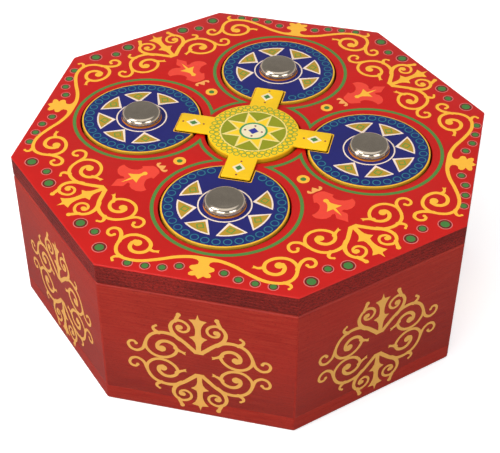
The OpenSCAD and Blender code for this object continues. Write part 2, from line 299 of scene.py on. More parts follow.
def lathe(profile, seg, centre=(0, 0)):
    """Profile [(r, z)] turned about a vertical axis. Points at r = 0 become poles."""
    verts, faces, rings = [], [], []
    for r, z in profile:
        n = 1 if r < 1e-6 else seg
        rings.append((len(verts), n))
        if n == 1:
            verts.append((*centre, z))
        else:
            verts += [(*p, z) for p in circle(*centre, r, seg)]
    for (a, na), (b, nb) in zip(rings, rings[1:]):
        if na == 1:
            faces += [[a, b + (i + 1) % seg, b + i] for i in range(seg)]
        elif nb == 1:
            faces += [[a + i, a + (i + 1) % seg, b] for i in range(seg)]
        else:
            faces += bridge(a, b, seg)
    return verts, faces


def ball_profile(z, r, seam=0.0):
    """Profile of a ball about height z, raised by seam round its middle."""
    middle = [(r * cos(radians(t)) + (seam if abs(t) < 9 else 0.0), z + r * sin(radians(t)))
              for t in range(-80, 81, 8)]
    return [(0, z - r)] + middle + [(0, z + r)]


def join(meshes):
    verts, faces = [], []
    for v, f in meshes:
        base = len(verts)
        verts += list(v)
        faces += [[i + base for i in q] for q in f]
    return verts, faces


def mesh_data(name, mesh):
    data = bpy.data.meshes.new(name)
    data.from_pydata([(x * MM, y * MM, z * MM) for x, y, z in mesh[0]], [], mesh[1])
    data.validate()
    bm = bmesh.new()
    bm.from_mesh(data)
    bmesh.ops.remove_doubles(bm, verts=bm.verts, dist=1e-8)
    bmesh.ops.recalc_face_normals(bm, faces=bm.faces)
    bm.to_mesh(data)
    bm.free()
    return data


def make(name, mesh, mats, body, replaces=None, smooth=None, grain=same):
    """An object riding on body. smooth is its sharp-edge angle, None for flat shading.

    grain maps a vertex to the place in the wood or cloth that its textures read.
    """
    data = mesh_data(name, mesh)
    ob = bpy.data.objects.new(name, data)
    bpy.context.scene.collection.objects.link(ob)
    for mat in mats if isinstance(mats, list) else [mats]:
        data.materials.append(mat)
    if smooth is not None:
        for p in data.polygons:
            p.use_smooth = True
        data.set_sharp_from_angle(angle=radians(smooth))
    attribute = data.attributes.new("grain", "FLOAT_VECTOR", "POINT")
    for i, v in enumerate(data.vertices):
        attribute.data[i].vector = grain((v.co.x / MM, v.co.y / MM, v.co.z / MM))
    if body:
        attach(ob, body)
    if replaces:
        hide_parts(replaces)
    return ob


def two_colours(ob, width, start):
    """Panels of the two materials in turn round the axis, each width degrees wide."""
    for p in ob.data.polygons:
        angle = (degrees(atan2(p.center.y, p.center.x)) + 360) % 360
        p.material_index = int(((angle - start) % 360) // width) % 2


# ---------------------------------------------------------------- shader building


def srgb(*rgb):
    out = []
    for c in rgb:
        c = c / 255
        out.append(c / 12.92 if c <= 0.04045 else ((c + 0.055) / 1.055) ** 2.4)
    return out + [1.0]


def scaled(colour, k):
    return [colour[0] * k, colour[1] * k, colour[2] * k, 1.0]


class Shader:
    """Builds the node tree of a material or world. Any value may be a number or a socket."""

    def __init__(self, owner):
        self.owner = owner
        owner.use_nodes = True
        self.tree = owner.node_tree

    def node(self, kind, **settings):
        node = self.tree.nodes.new(kind)
        for name, value in settings.items():
            setattr(node, name, value)
        return node

    def feed(self, socket, value):
        if isinstance(value, bpy.types.NodeSocket):
            self.tree.links.new(value, socket)
        else:
            socket.default_value = value

    def coords(self, use_grain=True):
        """Texture place in mm, from the grain attribute or from the object."""
        if use_grain:
            return self.node("ShaderNodeAttribute", attribute_name="grain").outputs["Vector"]
        mapping = self.node("ShaderNodeMapping")
        mapping.inputs["Scale"].default_value = (1000, 1000, 1000)
        self.feed(mapping.inputs["Vector"], self.node("ShaderNodeTexCoord").outputs["Object"])
        return mapping.outputs["Vector"]

    def noise(self, vec, scale, detail, rough=0.55, stretch=(1, 1, 1), offset=(0, 0, 0)):
        mapping = self.node("ShaderNodeMapping")
        mapping.inputs["Scale"].default_value = stretch
        mapping.inputs["Location"].default_value = offset
        self.feed(mapping.inputs["Vector"], vec)
        tex = self.node("ShaderNodeTexNoise")
        tex.inputs["Scale"].default_value = scale
        tex.inputs["Detail"].default_value = detail
        tex.inputs["Roughness"].default_value = rough
        self.feed(tex.inputs["Vector"], mapping.outputs["Vector"])
        return tex.outputs["Fac"]

    def ramp(self, fac, stops):
        node = self.node("ShaderNodeValToRGB")
        elements = node.color_ramp.elements
        while len(elements) > 1:
            elements.remove(elements[-1])
        elements[0].position, elements[0].color = stops[0]
        for position, colour in stops[1:]:
            elements.new(position).color = colour
        self.feed(node.inputs["Fac"], fac)
        return node.outputs["Color"]

    def mask(self, fac, low, high, start=0.0, end=1.0):
        """Grey going from start to end as fac goes from low to high."""
        return self.ramp(fac, [(low, [start] * 3 + [1]), (high, [end] * 3 + [1])])

    def mix(self, fac, a, b):
        node = self.node("ShaderNodeMix", data_type="RGBA")
        for i, value in ((0, fac), (6, a), (7, b)):
            self.feed(node.inputs[i], value)
        return node.outputs[2]

    def math(self, operation, a, b=0.0):
        node = self.node("ShaderNodeMath", operation=operation)
        self.feed(node.inputs[0], a)
        self.feed(node.inputs[1], b)
        return node.outputs[0]

    def varied(self, base, fac, amount):
        """base + fac * amount"""
        return self.math("ADD", base, self.math("MULTIPLY", fac, amount))

    def bump(self, height, mm, strength, below=None):
        node = self.node("ShaderNodeBump")
        node.inputs["Strength"].default_value = strength
        node.inputs["Distance"].default_value = mm * MM
        self.feed(node.inputs["Height"], height)
        if below is not None:
            self.feed(node.inputs["Normal"], below)
        return node.outputs["Normal"]

    def out(self, color, rough, **inputs):
        bsdf = self.tree.nodes["Principled BSDF"]
        inputs.update(Base_Color=color, Roughness=rough)
        for name, value in inputs.items():
            self.feed(bsdf.inputs[name.replace("_", " ")], value)
        return self.owner


def material(name):
    return Shader(bpy.data.materials.new(name))


# ---------------------------------------------------------------- materials


def paint(name, rgb, rough, vary, grain_mm=0.02, coat=0.0):
    """Satin paint over sanded wood: faint drift, soft grain showing, fine orange peel."""
    m = material(name)
    c = srgb(*rgb)
    v = m.coords()
    drift = m.noise(v, scale=0.09, detail=3)
    streak = m.noise(v, scale=1.0, detail=5, rough=0.6, stretch=(0.10, 1.6, 1.6))
    peel = m.noise(v, scale=5.5, detail=3)
    col = m.mix(m.mask(drift, 0.3, 0.7), scaled(c, 1 - vary), scaled(c, 1 + vary * 0.4))
    col = m.mix(m.math("MULTIPLY", streak, vary * 0.9), col, scaled(c, 0.72))
    roughness = m.varied(rough - 0.06, streak, 0.14)
    normal = m.bump(streak, mm=grain_mm, strength=0.7)
    normal = m.bump(peel, mm=0.012, strength=0.6, below=normal)
    return m.out(col, roughness, Normal=normal, Specular_IOR_Level=0.30,
                 Coat_Weight=coat, Coat_Roughness=0.25)


def ink(name, rgb, rough=0.4, vary=0.08):
    """Printed or brushed colour: slight density drift and a soft tooth."""
    m = material(name)
    c = srgb(*rgb)
    v = m.coords()
    drift = m.noise(v, scale=0.5, detail=4)
    tooth = m.noise(v, scale=4.0, detail=2)
    col = m.mix(m.math("MULTIPLY", drift, 1.0), scaled(c, 1 - vary), scaled(c, 1 + vary * 0.5))
    return m.out(col, m.varied(rough - 0.05, tooth, 0.12),
                 Normal=m.bump(tooth, mm=0.008, strength=0.5), Specular_IOR_Level=0.25)


def side_paint(name, rgb, dark, light):
    """Thin red-brown paint on grained wood: grain along the board, with dark flecks."""
    m = material(name)
    c = srgb(*rgb)
    v = m.coords()
    board = m.noise(v, scale=0.05, detail=2, rough=0.5, stretch=(0.6, 1, 1))
    streak = m.noise(v, scale=1.0, detail=6, rough=0.62, stretch=(0.07, 1.5, 1.5))
    fleck = m.noise(v, scale=3.2, detail=3, rough=0.5, stretch=(0.35, 1.6, 1.6),
                    offset=(7, 3, 1))
    wave = m.noise(v, scale=0.35, detail=2, rough=0.4, stretch=(0.12, 1, 1), offset=(2, 9, 4))
    col = m.mix(m.mask(board, 0.30, 0.70), scaled(c, 0.90), scaled(c, 1.10))
    col = m.mix(m.mask(streak, 0.40, 0.62, end=0.55), col, srgb(*light))
    col = m.mix(m.mask(fleck, 0.56, 0.68, end=0.55), col, srgb(*dark))
    roughness = m.varied(0.36, streak, 0.22)
    normal = m.bump(wave, mm=0.10, strength=0.5)
    normal = m.bump(streak, mm=0.05, strength=0.8, below=normal)
    normal = m.bump(fleck, mm=0.03, strength=0.7, below=normal)
    return m.out(col, roughness, Normal=normal, Specular_IOR_Level=0.28)


def edge_paint(name, rgb, dark):
    """Rough plywood edge under thin paint: plies along the board, dark open pores."""
    m = material(name)
    v = m.coords()
    pores = m.noise(v, scale=2.4, detail=4, rough=0.65, stretch=(0.55, 1.5, 1.5))
    plies = m.noise(v, scale=1.0, detail=3, rough=0.5, stretch=(0.03, 0.03, 2.6))
    col = m.mix(m.mask(pores, 0.47, 0.60, end=0.9), srgb(*rgb), srgb(*dark))
    col = m.mix(m.mask(plies, 0.42, 0.60, start=0.55, end=0.0), col, srgb(*dark))
    normal = m.bump(plies, mm=0.12, strength=0.8)
    normal = m.bump(pores, mm=0.10, strength=0.9, below=normal)
    return m.out(col, 0.55, Normal=normal, Specular_IOR_Level=0.22)


def wood(name, rgb, dark, use_grain):
    """Bare wood: long growth streaks, pores and a dry sheen."""
    m = material(name)
    v = m.coords(use_grain)
    streak = m.noise(v, scale=0.9, detail=6, rough=0.6, stretch=(0.12, 1.4, 1.4))
    band = m.noise(v, scale=0.22, detail=3, rough=0.5, stretch=(0.15, 1, 1))
    pore = m.noise(v, scale=4.0, detail=3, rough=0.5, stretch=(0.2, 1.5, 1.5))
    col = m.mix(m.mask(streak, 0.35, 0.65), srgb(*rgb), srgb(*dark))
    col = m.mix(m.math("MULTIPLY", band, 0.35), col, srgb(*dark))
    col = m.mix(m.mask(pore, 0.60, 0.72, end=0.5), col, scaled(srgb(*dark), 0.6))
    normal = m.bump(streak, mm=0.05, strength=0.7)
    return m.out(col, m.varied(0.50, streak, 0.15),
                 Normal=m.bump(pore, mm=0.03, strength=0.6, below=normal),
                 Specular_IOR_Level=0.35)


def metal(name, rgb, rough, scratch=0.01, use_grain=False, vary=0.08, spread=0.12):
    """Metal with fine handling marks, scratch mm deep, and slight tarnish."""
    m = material(name)
    c = srgb(*rgb)
    v = m.coords(use_grain)
    tarnish = m.noise(v, scale=0.35, detail=5, rough=0.6)
    lines = m.noise(v, scale=3.0, detail=4, rough=0.6, stretch=(0.2, 2.2, 1.0))
    col = m.mix(m.mask(tarnish, 0.35, 0.7), scaled(c, 1 - vary), c)
    roughness = m.varied(rough - spread / 2, lines, spread)
    return m.out(col, roughness, Normal=m.bump(lines, mm=scratch, strength=0.5), Metallic=1.0)


def cloth(name, rgb, dark, threads):
    """Woven or felted cloth: crossed threads (per mm), fuzz and soft sheen."""
    m = material(name)
    v = m.coords()
    axes = m.node("ShaderNodeSeparateXYZ")
    m.feed(axes.inputs[0], v)
    warp = m.math("SINE", m.math("MULTIPLY", axes.outputs[0], threads * tau))
    weft = m.math("SINE", m.math("MULTIPLY", axes.outputs[1], threads * tau))
    weave = m.math("MULTIPLY", warp, weft)
    fuzz = m.noise(v, scale=2.0, detail=5, rough=0.7)
    col = m.mix(m.varied(0.35, weave, 0.25), srgb(*rgb), srgb(*dark))
    col = m.mix(m.math("MULTIPLY", fuzz, 0.35), col, srgb(*dark))
    normal = m.bump(weave, mm=0.05, strength=0.6)
    normal = m.bump(fuzz, mm=0.06, strength=0.6, below=normal)
    return m.out(col, 0.85, Normal=normal, Sheen_Weight=0.35, Sheen_Roughness=0.5,
                 Specular_IOR_Level=0.2)


RED_TOP = paint("red_top_paint", (198, 18, 10), rough=0.38, vary=0.07, grain_mm=0.012)
RED_SIDE = side_paint("red_side_paint", (154, 30, 18), dark=(84, 12, 7), light=(176, 54, 36))
RED_EDGE = edge_paint("red_edge_paint", (146, 32, 24), dark=(70, 12, 8))
# The well walls take a darker copy of the top red: painted shade in the recesses.
RED_SHADED_WELL = paint("red_well_painted_shade", (168, 18, 18), rough=0.5, vary=0.15, grain_mm=0.03)
DIAL_RIM = paint("dial_rim_paint", (246, 188, 44), rough=0.45, vary=0.10)
# A rougher, darker copy of the dial's yellow for the wheel's sides; the darkening is painted
# shade.
DIAL_SIDE_SHADED = paint("dial_edge_painted_shade", (188, 142, 30), rough=0.6, vary=0.22, grain_mm=0.05)
# A darker copy of the cross's yellow for the hub's side in its well: painted shade.
HUB_SIDE_SHADED = paint("hub_edge_painted_shade", (212, 162, 18), rough=0.55, vary=0.16, grain_mm=0.04)
YELLOW = paint("yellow_paint", (250, 200, 18), rough=0.42, vary=0.08, grain_mm=0.015)
# Near-black red on the well floors: painted shade standing in for the dark gaps round the dials
# and hub.
WELL_FLOOR_SHADE = paint("well_floor_painted_shade", (70, 12, 10), rough=0.7, vary=0.3)
GOLD_TOP = ink("gold_scroll_top", (252, 186, 58))
GOLD_SIDE = ink("gold_scroll_side", (228, 168, 82), rough=0.36)
GREEN_LINE = ink("green_line", (84, 134, 62))
GREEN_DOT = ink("green_dot", (72, 126, 60))
DOT_RING = ink("dot_ring", (222, 120, 112))
DOT_DARK = ink("dot_dark", (110, 30, 24))
SALMON = ink("salmon_fleur", (238, 70, 52))
PEACH = ink("peach_leaf", (246, 170, 90))
DIAL_BLUE = ink("dial_blue", (33, 34, 108), rough=0.36)
DIAL_BAND = ink("dial_band", (24, 42, 104), rough=0.36)
TEAL = ink("dial_bead", (50, 124, 138))
CREAM_LINE = ink("cream_line", (248, 226, 206))
ORANGE = ink("orange_disc", (226, 140, 52))
OCHRE = ink("ochre_wedge", (186, 146, 44))
SQUARE_GREEN = ink("green_square", (110, 150, 60))
OLIVE = ink("olive_wedge", (146, 150, 26))
CREAM_YELLOW = ink("cream_yellow", (242, 218, 132))
BOSS_GREEN = ink("boss_green", (70, 152, 92))
STAR_YELLOW = ink("star_yellow", (252, 208, 40))
BEAD_GREEN = ink("bead_green", (140, 164, 58))
CREAM = ink("cream_disc", (240, 226, 186))
MIDDLE_BLUE = ink("middle_blue", (52, 56, 150))
DOT_RED = ink("red_dot", (128, 36, 62))
POLISHED = metal("polished_steel", (204, 190, 170), rough=0.15, scratch=0.006,
                 use_grain=True, vary=0.10, spread=0.08)
STEEL = metal("zinc_steel", (178, 180, 182), rough=0.34)
BRASS = metal("aged_brass", (206, 168, 96), rough=0.30)
BEECH = wood("bare_beech", (222, 186, 138), dark=(190, 146, 96), use_grain=False)
PLYWOOD = wood("birch_plywood", (214, 180, 128), dark=(176, 134, 84), use_grain=True)
SKIN = paint("head_paint", (232, 184, 146), rough=0.5, vary=0.06)
NOSE_RED = paint("nose_paint", (200, 30, 26), rough=0.22, vary=0.05, coat=0.5)
GOWN_BLUE = cloth("gown_cloth", (34, 54, 132), dark=(18, 26, 82), threads=1.6)
GOWN_YELLOW = cloth("gown_cloth_yellow", (226, 168, 44), dark=(186, 124, 26), threads=1.6)
RUFF_CLOTH = cloth("ruff_cloth", (240, 232, 212), dark=(206, 194, 168), threads=1.8)
FELT_YELLOW = cloth("hat_felt_yellow", (236, 178, 40), dark=(196, 132, 24), threads=0.9)
FELT_RED = cloth("hat_felt_red", (186, 34, 30), dark=(132, 18, 18), threads=0.9)
FACE_INK = ink("face_ink", (60, 34, 26))
LIP_INK = ink("lip_ink", (178, 56, 50))
CHEEK_INK = ink("cheek_ink", (226, 132, 108))
EYE_WHITE = ink("eye_white", (244, 240, 230))
EYE_BLUE = ink("eye_blue", (60, 96, 140))

# ---------------------------------------------------------------- walls and base

BODY_CORNER_R = 1.6
WALL_ROUND = 1.1  # outer rounding of a wall's top edge
WALL_ROUND_IN = 0.5  # how far the inner face leans out at the top
WALLS = ["front", "front_right", "right", "rear_right",
         "rear", "rear_left", "left", "front_left"]


def wall_plan(d_out, d_in):
    """Plan of the +X wall, outer face set in by d_out and inner face moved out by d_in."""
    r = BODY_CORNER_R
    inner = APOTHEM - WALL_T + d_in
    half = inner * tan(radians(22.5))
    reach = (APOTHEM - d_out - r) / cos(radians(22.5))
    out = [(inner, -half)]
    for corner, start in ((-22.5, -22.5), (22.5, 0)):
        for i in range(5):
            t = radians(start + 22.5 * i / 4)
            out.append((reach * cos(radians(corner)) + r * cos(t),
                        reach * sin(radians(corner)) + r * sin(t)))
    return out + [(inner, half)]


def wall_grain(p, k):
    """Grain along wall k, each wall cut from another part of the wood."""
    q = rotate(p, 90 - 45 * k)
    return (q[1] + 97.0 * k, q[2] + 31.0 * k, q[0])


def base_grain(p):
    """The walls' grain carried on down, so the seam shows only as a fine line."""
    return wall_grain(p, round((degrees(atan2(p[1], p[0])) + 90) / 45.0) % 8)


# (z, inset of the outer face, outward shift of the inner face)
wall_levels = [(BASE_TOP, 0.08, 0.0), (BASE_TOP + 0.10, 0.0, 0.0)]
for i in range(6):
    t = pi / 2 * i / 5
    wall_levels.append((BODY_TOP - WALL_ROUND * (1 - sin(t)),
                        WALL_ROUND * (1 - cos(t)), WALL_ROUND_IN * (1 - cos(t))))

for k, side in enumerate(WALLS):
    verts = [rotate((x, y, z), -90 + 45 * k)
             for z, d_out, d_in in wall_levels for x, y in wall_plan(d_out, d_in)]
    n = len(verts) // len(wall_levels)
    last = len(verts) - n
    faces = [list(range(n))[::-1]]
    for a in range(0, last, n):
        faces += bridge(a, a + n, n)
    faces.append(list(range(last, last + n)))
    make(f"wall_{side}_board", (verts, faces), RED_SIDE, "box",
         f"wall_{side}", smooth=40, grain=lambda p, k=k: wall_grain(p, k))

make("base_board_v", plate(octagon(APOTHEM, BODY_CORNER_R),
                           board_profile(0, BASE_TOP, bottom=0.7, top=0.08, seg=5)),
     RED_SIDE, "box", "base_board", smooth=40, grain=base_grain)

# ---------------------------------------------------------------- lid boards


def ring_grain(p):
    """Grain runs round the octagon, along whichever side the point is on."""
    k = round(degrees(atan2(p[1], p[0])) / 45.0)
    q = rotate(p, -45.0 * k)
    return (q[1] + 83.0 * k, q[2], q[0])


def plies(z0, lower, upper):
    """Two ply grooves, each given as (depth, half height), in a board standing on z0."""
    return [(z0 + BOARD_T * 0.36, *lower), (z0 + BOARD_T * 0.68, *upper)]


def in_from_edge(c):
    """True for a point further in than the lid's outer edge faces."""
    reach = max(abs(c.x * cos(radians(a)) + c.y * sin(radians(a))) for a in (0, 45, 90, 135))
    return reach < LID_APOTHEM - 1.5


lid_plan = octagon(LID_APOTHEM, 1.2)
dial_centres = [rotate((DIAL_OFFSET, 0), a) for a in SIDES.values()]
wells = [circle(x, y, WELL_R, 96) for x, y in dial_centres] + [circle(0, 0, HUB_WELL_R, 80)]
face_board = plate(
    lid_plan,
    board_profile(LID_JOINT, LID_TOP, bottom=0.28, top=0.42,
                  grooves=plies(LID_JOINT, (0.10, 0.16), (0.07, 0.13))),
    wells,
    board_profile(LID_JOINT, LID_TOP, bottom=0.1, top=0.30,
                  grooves=plies(LID_JOINT, (0.04, 0.12), (0.04, 0.12))))
ob = make("lid_face_board_v", face_board, [RED_TOP, RED_EDGE, RED_SHADED_WELL], "lid",
          "lid_face_board", smooth=30,
          grain=lambda p: ring_grain(p) if p[2] < LID_TOP - 0.01 else p)
for p in ob.data.polygons:
    centre = p.center / MM
    if centre.z < LID_TOP - 0.45 or p.normal.z < 0:
        # Well walls take the darker red, painted shade in the recesses.
        p.material_index = 2 if in_from_edge(centre) else 1

backing_board = plate(
    lid_plan,
    board_profile(LID_LOW, LID_JOINT, bottom=0.45, top=0.25,
                  grooves=plies(LID_LOW, (0.08, 0.14), (0.10, 0.16))),
    [circle(x, y, SHAFT_HOLE_R, 32) for x, y in dial_centres],
    board_profile(LID_LOW, LID_JOINT, bottom=0.1, top=0.1,
                  grooves=plies(LID_LOW, (0.0, 0.14), (0.0, 0.16))))
ob = make("lid_backing_board_v", backing_board, [PLYWOOD, RED_EDGE, WELL_FLOOR_SHADE], "lid",
          "lid_backing_board", smooth=30,
          grain=lambda p: ring_grain(p) if LID_LOW + 0.01 < p[2] < LID_JOINT - 0.01 else p)
for p in ob.data.polygons:
    # Up-facing faces, seen only at the foot of the wells, take the near-black painted shade.
    if p.normal.z > 0.9:
        p.material_index = 2
    elif p.normal.z > -0.95 and not in_from_edge(p.center / MM):
        p.material_index = 1

# ---------------------------------------------------------------- cross

hub = lathe([(0, HUB_LOW), (HUB_R - 0.3, HUB_LOW), (HUB_R, HUB_LOW + 0.3), (HUB_R, HUB_TOP),
             (0, HUB_TOP)], 96)
# The hub is all in the darker yellow, painted shade for its side down in the well.
make("cross_hub_v", hub, HUB_SIDE_SHADED, "lid", "cross_hub", smooth=30)


def cross_outline(r, half, arm, n=18, tip_r=0.5):
    """Disc with four arms, the corners of their tips rounded to tip_r."""
    start = asin(arm / r)
    quarter = []
    for cy, angle in ((-arm + tip_r, -90), (arm - tip_r, 0)):
        for i in range(4):
            t = radians(angle + 90 * i / 3)
            quarter.append((half - tip_r + tip_r * cos(t), cy + tip_r * sin(t)))
    for i in range(n + 1):
        t = start + (pi / 2 - 2 * start) * i / n
        quarter.append((r * cos(t), r * sin(t)))
    return [rotate(p, 90 * k) for k in range(4) for p in quarter]


make("cross_plate_v", plate(cross_outline(HUB_R, CROSS_HALF, ARM_HALF),
                            board_profile(CROSS_LOW, CROSS_TOP, bottom=0.06, top=0.2, seg=3)),
     YELLOW, "lid", "cross_plate", smooth=30)

# ---------------------------------------------------------------- dials
# Each dial is drawn about its own centre, its notch towards -X, and turned to its side.


def wheel_outline(r, floor_x, half, n=90):
    """Disc with a square notch open towards -X."""
    start = asin(half / r)
    out = []
    for i in range(n + 1):
        t = -pi + start + (2 * pi - 2 * start) * i / n
        out.append((r * cos(t), r * sin(t)))
    edge = [(floor_x - 0.4, half), (floor_x - 0.12, half - 0.12), (floor_x, half - 0.4)]
    return out + edge + [(x, -y) for x, y in edge[::-1]]


def wedge(r_in, r_out, half, angle, n=10):
    """Sector with its point at r_in and its arc, half degrees each way, at r_out."""
    out = [(r_in, 0.0)]
    for i in range(n + 1):
        t = radians(-half + 2 * half * i / n)
        out.append((r_out * cos(t), r_out * sin(t)))
    return [rotate(p, angle) for p in out]


def knob_profile():
    """Stepped foot, domed side and a shallow crown."""
    r = KNOB_R
    foot = ((0.80, 0.0), (0.84, 0.06), (0.84, 0.42), (0.90, 0.50), (0.975, 0.58))
    out = [(0, KNOB_LOW)] + [(r * part, KNOB_LOW + rise) for part, rise in foot]
    for i in range(15):
        t = pi / 2 * i / 14
        out.append((r * (0.76 + 0.24 * cos(t) ** 0.9),
                    KNOB_LOW + 0.80 + (KNOB_TOP - KNOB_LOW - 1.15) * sin(t)))
    top_r, top_z = out[-1]
    for i in range(1, 8):
        q = i / 8
        out.append((top_r * (1 - q), top_z + (KNOB_TOP - top_z) * (1 - (1 - q) ** 2)))
    return out + [(0, KNOB_TOP)]


WEDGE_ANGLES = (-112.5, -67.5, -22.5, 22.5, 67.5, 112.5)
wedge_outlines = [wedge(9.45, 16.25, 18.9, a) for a in WEDGE_ANGLES]
wedge_fills = [wedge(10.75, 15.68, 16.1, a) for a in WEDGE_ANGLES]
squares, square_holes = [[[rotate(p, a) for p in rhombus(13.55, half, half)]
                          for a in WEDGE_ANGLES] for half in (1.75, 1.1)]
# The print stops short of the notch.
print_notch = (NOTCH_X + 0.5, NOTCH_HALF + 0.5)
# name, loops, holes, ink, height over the wheel
DIAL_PRINTS = [
    ("print", [wheel_outline(DIAL_R - 0.62, *print_notch)], [], DIAL_BLUE, 0.03),
    ("rim_band", [wheel_outline(DIAL_R - 0.72, *print_notch)], [circle(0, 0, 17.35, 80)],
     DIAL_BAND, 0.05),
    ("beads", None, None, TEAL, 0.07),
    ("inner_ring", [circle(0, 0, 9.3, 64)], [circle(0, 0, 8.8, 64)], CREAM_LINE, 0.06),
    ("centre_disc", [circle(0, 0, 7.35, 64)], [circle(0, 0, 3.0, 32)], ORANGE, 0.06),
    ("wedge_lines", wedge_outlines, wedge_fills, CREAM_LINE, 0.06),
    ("wedges", wedge_fills, [], OCHRE, 0.05),
    ("wedge_squares", squares, square_holes, SQUARE_GREEN, 0.065),
]


def dial_beads(z0, z1, place):
    """Touching rings round the rim, left out at the notch."""
    beads = []
    for i in range(32):
        angle = 360.0 * (i + 0.5) / 32
        if abs(angle - 180) >= 22.5:
            x, y = 19.15 * cos(radians(angle)), 19.15 * sin(radians(angle))
            beads.append(slab([circle(x, y, 1.52, 20)], z0, z1,
                              [circle(x, y, 1.20, 20)], place))
    return join(beads)


def make_dial(side, angle):
    body = "dial_" + side
    cx, cy = rotate((DIAL_OFFSET, 0), angle)

    def put(p):
        q = rotate(p, angle)
        return (q[0] + cx, q[1] + cy, p[2])

    def local(p):
        return rotate((p[0] - cx, p[1] - cy, p[2]), -angle)

    wheel = plate(wheel_outline(DIAL_R, NOTCH_X, NOTCH_HALF),
                  board_profile(DIAL_LOW, DIAL_TOP, bottom=0.15, top=0.28, seg=3), place=put)
    ob = make(body + "_wheel_v", wheel, [DIAL_RIM, DIAL_SIDE_SHADED], body,
              body + "_wheel", smooth=30, grain=local)
    for p in ob.data.polygons:
        # Faces not facing up take the darker yellow: painted shade on the wheel's sides.
        p.material_index = 0 if p.normal.z > 0.75 else 1

    for name, loops, holes, mat, lift in DIAL_PRINTS:
        z0, z1 = DIAL_TOP - 0.05, DIAL_TOP + lift
        mesh = dial_beads(z0, z1, put) if loops is None else slab(loops, z0, z1, holes, put)
        make(f"{body}_{name}", mesh, mat, body, grain=local)

    verts, faces = lathe(knob_profile(), 72)
    make(body + "_knob_v", ([put(p) for p in verts], faces), POLISHED, body,
         body + "_knob", smooth=50, grain=local)


for side, angle in SIDES.items():
    make_dial(side, angle)

# ---------------------------------------------------------------- brush strokes


def spline(points, per):
    """Smooth curve through the points (Catmull-Rom), per steps between neighbours."""
    p = [points[0]] + list(points) + [points[-1]]
    out = []
    for i in range(1, len(p) - 2):
        for j in range(per):
            t = j / per
            out.append(tuple(
                0.5 * (2 * b + (c - a) * t + (2 * a - 5 * b + 4 * c - d) * t * t
                       + (3 * b - 3 * c + d - a) * t ** 3)
                for a, b, c, d in zip(*p[i - 1:i + 3])))
    out.append(tuple(points[-1]))
    return out


def stroke(points, start, end, blob=0.0, swell=0.0):
    """Loops covering a brush stroke whose width goes from start to end, plus swell midway.

    blob is the least radius of the far end.
    """
    curve = spline(points, 6)
    n = len(curve)
    start, end, swell = start * 0.9, end * 0.9, swell * 0.9
    left, right = [], []
    for i, (x, y) in enumerate(curve):
        a, b = curve[max(i - 1, 0)], curve[min(i + 1, n - 1)]
        dx, dy = b[0] - a[0], b[1] - a[1]
        length = hypot(dx, dy) or 1e-9
        t = i / (n - 1)
        w = (start + (end - start) * t + swell * sin(pi * t)) / 2
        left.append((x - dy / length * w, y + dx / length * w))
        right.append((x + dy / length * w, y - dx / length * w))
    loops = []
    for i in range(n - 1):
        quad = [left[i], right[i], right[i + 1], left[i + 1]]
        if abs(double_area(quad)) > 1e-7:
            loops.append(quad)
    loops.append(circle(*curve[0], start / 2, 14))
    loops.append(circle(*curve[-1], max(blob, end / 2), 20))
    return loops


def both(loops):
    return loops + [[(-x, y) for x, y in loop] for loop in loops]


def mirrored(half):
    """One loop from the half of it on the +X side."""
    return half + [(-x, y) for x, y in half[::-1] if x > 1e-6]


# ---------------------------------------------------------------- lid ornament
# Points are (u, v): u along a lid edge, v outwards from the lid's centre.


def palmette():
    """Scrolled palmette with its foot at v = 60."""
    half = stroke([(1.1, 60.9), (3.0, 62.8), (5.35, 65.1), (7.75, 66.8), (10.1, 67.5),
                   (12.4, 67.5), (14.65, 66.8), (16.6, 65.2), (17.9, 62.7), (18.2, 60.4),
                   (17.6, 58.5), (15.8, 56.6), (13.3, 55.85), (10.65, 56.35), (8.5, 58.0),
                   (7.5, 60.05), (7.95, 61.9), (9.25, 63.2), (11.1, 63.7), (12.85, 63.15),
                   (14.05, 61.55), (13.9, 59.8), (12.7, 59.3)],
                  start=1.75, end=1.7, blob=0.85, swell=-0.5)
    half.append(circle(12.5, 59.95, 1.3, 26))
    half += stroke([(7.9, 61.2), (6.6, 60.2), (4.9, 59.5)], start=1.7, end=0.8)
    half.append([(5.7, 60.0), (4.3, 60.1), (4.75, 59.4), (4.4, 58.6), (5.6, 59.1)])
    half += stroke([(18.2, 61.8), (19.0, 59.1), (20.0, 57.85), (21.65, 57.1), (23.45, 57.8),
                    (24.25, 59.6), (23.6, 61.05), (22.2, 61.3), (21.5, 60.4)],
                   start=1.3, end=1.0, blob=0.62)
    half += stroke([(13.4, 67.1), (14.9, 68.2), (15.2, 69.4), (14.2, 70.3)],
                   start=1.6, end=0.8, blob=0.5)
    half += stroke([(6.2, 65.6), (7.6, 66.8), (8.8, 68.6), (9.3, 70.7), (8.95, 72.3),
                    (7.9, 73.75), (6.1, 74.4), (4.15, 73.65), (3.05, 72.0), (3.45, 70.3),
                    (4.9, 69.35), (6.5, 69.8), (7.1, 71.05), (6.6, 71.8)],
                   start=1.9, end=1.1, blob=0.5, swell=-0.35)
    half.append(circle(6.0, 71.3, 0.95, 22))
    half += stroke([(7.6, 73.8), (6.9, 75.6), (6.4, 76.9)], start=1.5, end=1.4, blob=0.85)
    return both(half) + [
        mirrored([(0, 78.3), (0.4, 76.6), (0.75, 75.95), (3.0, 75.6), (1.9, 74.3),
                  (1.25, 72.9), (0.95, 71.4), (0.95, 69.5), (1.25, 68.4), (2.0, 68.05),
                  (3.15, 67.6), (1.9, 66.6), (1.1, 65.3), (0.85, 63.8), (0.85, 61.2)]),
        [(-2.0, 61.2), (-1.6, 60.1), (1.6, 60.1), (2.0, 61.2), (0, 62.2)]]


